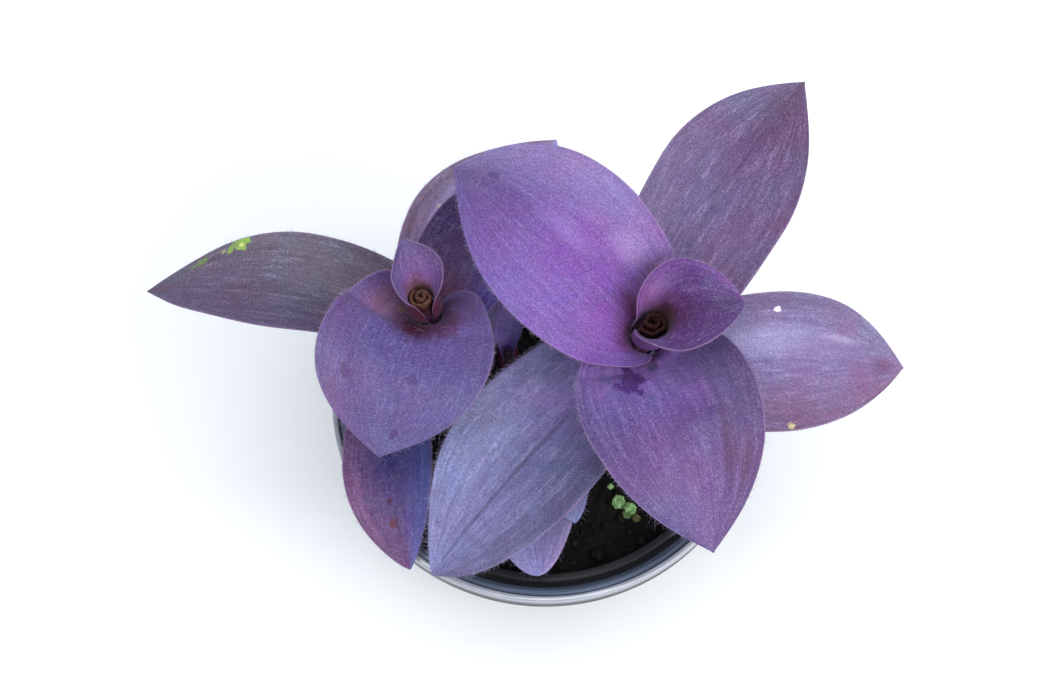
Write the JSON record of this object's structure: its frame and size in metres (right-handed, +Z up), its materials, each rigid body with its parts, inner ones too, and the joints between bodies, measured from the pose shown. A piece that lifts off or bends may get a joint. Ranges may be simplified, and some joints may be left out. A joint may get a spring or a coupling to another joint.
{
  "type": "potted tradescantia plant",
  "caption": "Small purple heart houseplant with fleshy clasping leaves on short upright shoots, growing in soil in a round black plastic nursery pot.",
  "frame": {"origin": "centre of the flat underside of the pot, on the surface the pot stands on", "axes": "+Z up out of the pot; +X along the longest spread of the leaves, from the long leaf on the left to the side leaf on the right; +Y to the back, towards the long back leaf"},
  "size_m": [0.1864, 0.1186, 0.1561],
  "materials": {
    "black_plastic": "black polypropylene with a polished lip",
    "potting_soil": "damp dark crumbly potting mix",
    "green_moss": "soft matt cushions",
    "stem_flesh": "juicy purple stem, satin",
    "bud_scale": "maroon to olive, satin",
    "young_leaf": "maroon inside the cup, satin with a fine bloom",
    "violet_leaf": "violet, satin with a fine bloom and hairs",
    "grey_leaf": "bluish grey lavender, satin with a bloom",
    "dusky_leaf": "dusky greyish purple, satin"
  },
  "bodies": {
    "root": {"pot": "black_plastic", "soil": "potting_soil", "moss": "green_moss", "stem_right": "stem_flesh", "stem_left": "stem_flesh", "stem_middle": "stem_flesh", "stem_low": "stem_flesh", "stem_inner": "stem_flesh", "bud_right": "bud_scale", "bud_left": "bud_scale", "bud_middle": "bud_scale", "leaf_right_cup": "young_leaf", "leaf_left_cup": "young_leaf", "leaf_right_big": "violet_leaf", "leaf_right_front": "violet_leaf", "leaf_right_side": "violet_leaf", "leaf_left_front": "violet_leaf", "leaf_right_low": "grey_leaf", "leaf_inner_small": "grey_leaf", "leaf_middle_front": "grey_leaf", "leaf_middle_top": "grey_leaf", "leaf_low_front": "grey_leaf", "leaf_right_back": "dusky_leaf", "leaf_left_inner": "dusky_leaf", "leaf_left_long": "dusky_leaf", "leaf_left_back": "dusky_leaf"}
  },
  "joints": []
}
